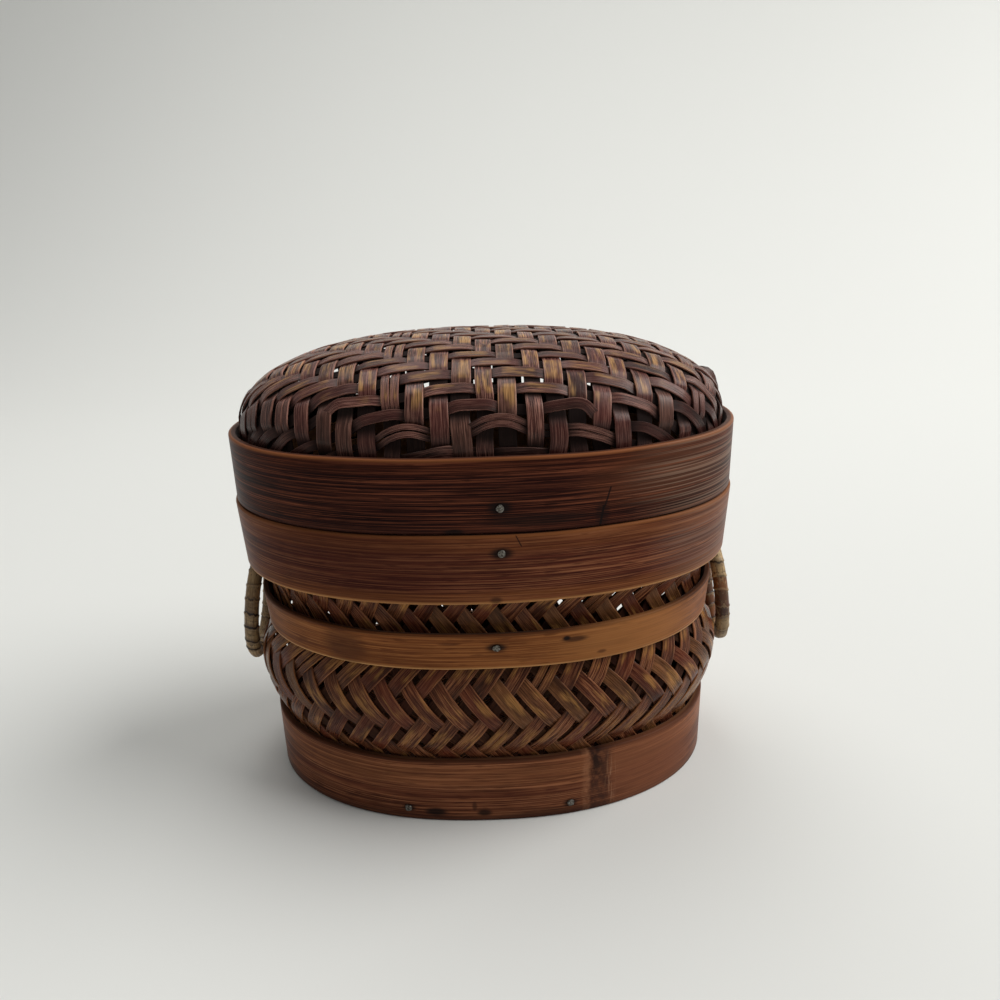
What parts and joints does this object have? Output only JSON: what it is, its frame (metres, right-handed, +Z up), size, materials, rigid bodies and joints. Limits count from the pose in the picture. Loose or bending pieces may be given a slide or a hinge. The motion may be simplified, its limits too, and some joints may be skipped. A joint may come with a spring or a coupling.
{
  "type": "wicker trinket box",
  "caption": "Oval woven box with a domed lift-off lid, bent bamboo hoops nailed at rim, waist and foot, and a drop ring handle at each end.",
  "frame": {"origin": "centre of the underside, on the plane the box stands on", "axes": "+Z up, +X along the length from handle to handle, -Y towards the viewer of the picture"},
  "size_m": [0.1564, 0.0988, 0.1345],
  "materials": {
    "body_cane": "dry split cane, brown with golden tints",
    "lid_cane": "dark stained split cane, worn golden on the crests",
    "dark_bamboo": "dark stained bamboo strip, satin varnish, worn lip",
    "red_bamboo": "red-brown stained bamboo strip, satin varnish",
    "tan_bamboo": "tan bamboo strip, satin varnish",
    "brown_bamboo": "brown bamboo strip, satin varnish",
    "inner_bamboo": "plain split bamboo, inner face",
    "root_bamboo": "ringed bamboo root, satin",
    "tie_cane": "flat cane tie",
    "tack_steel": "dull grey tack"
  },
  "bodies": {
    "box": {"body_weave": "body_cane", "foot_band": "brown_bamboo", "foot_hoop": "inner_bamboo", "mid_band": "tan_bamboo", "rim_band": "red_bamboo", "rim_collar": "inner_bamboo", "rim_tack": "tack_steel", "mid_tack": "tack_steel", "foot_tack_left": "tack_steel", "foot_tack_right": "tack_steel", "right_loop": "tie_cane", "left_loop": "tie_cane"},
    "lid": {"lid_weave": "lid_cane", "lid_band": "dark_bamboo", "lid_hoop": "inner_bamboo", "lid_tack": "tack_steel"},
    "right_handle": {"right_ring": "root_bamboo"},
    "left_handle": {"left_ring": "root_bamboo"}
  },
  "joints": [
    {"name": "lid_lift", "type": "slide", "parent": "box", "child": "lid", "axis": [0, 0, 1], "range_m": [0, 0.06]},
    {"name": "right_handle_swing", "type": "hinge", "parent": "box", "child": "right_handle", "pos_m": [0.07135, 0, 0.0662], "axis": [0, -1, 0], "range_deg": [0, 100]},
    {"name": "left_handle_swing", "type": "hinge", "parent": "box", "child": "left_handle", "pos_m": [-0.07135, 0, 0.0662], "axis": [0, 1, 0], "range_deg": [0, 100]}
  ]
}
